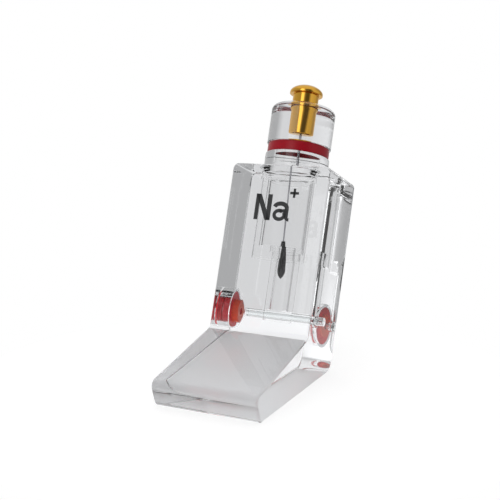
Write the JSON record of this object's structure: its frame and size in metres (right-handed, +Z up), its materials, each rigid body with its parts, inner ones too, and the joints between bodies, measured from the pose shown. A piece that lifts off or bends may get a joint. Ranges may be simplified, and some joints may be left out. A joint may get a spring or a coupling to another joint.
{
  "type": "flow-through ion-selective electrode",
  "caption": "Clear acrylic sodium electrode: upright block on a sloping foot, rubber-sealed sample port, capped neck with red gasket and gold contact pin.",
  "frame": {"origin": "middle of the foot's underside, on which the part stands", "axes": "+Z up, +X to the side with the plain channel end, +Y towards the back, the way the upright leans"},
  "size_m": [0.0174, 0.0406, 0.0459],
  "materials": {
    "clear_acrylic": "polished clear acrylic",
    "sensor_glass": "clear glass",
    "red_rubber": "satin moulded rubber",
    "crimson_rubber": "satin rubber",
    "gold": "polished gold plating",
    "silver": "drawn silver wire",
    "silver_chloride": "dark silver chloride coat"
  },
  "bodies": {
    "root": {"housing": "clear_acrylic", "chamber_sleeve": "clear_acrylic", "electrolyte_tube": "clear_acrylic", "glass_capillary": "sensor_glass", "port_ring": "clear_acrylic", "port_seal": "red_rubber", "neck_plug": "clear_acrylic", "sealing_ring": "crimson_rubber", "cap": "clear_acrylic", "contact_pin": "gold", "lead_wire": "silver", "reference_element": "silver_chloride"}
  },
  "joints": []
}
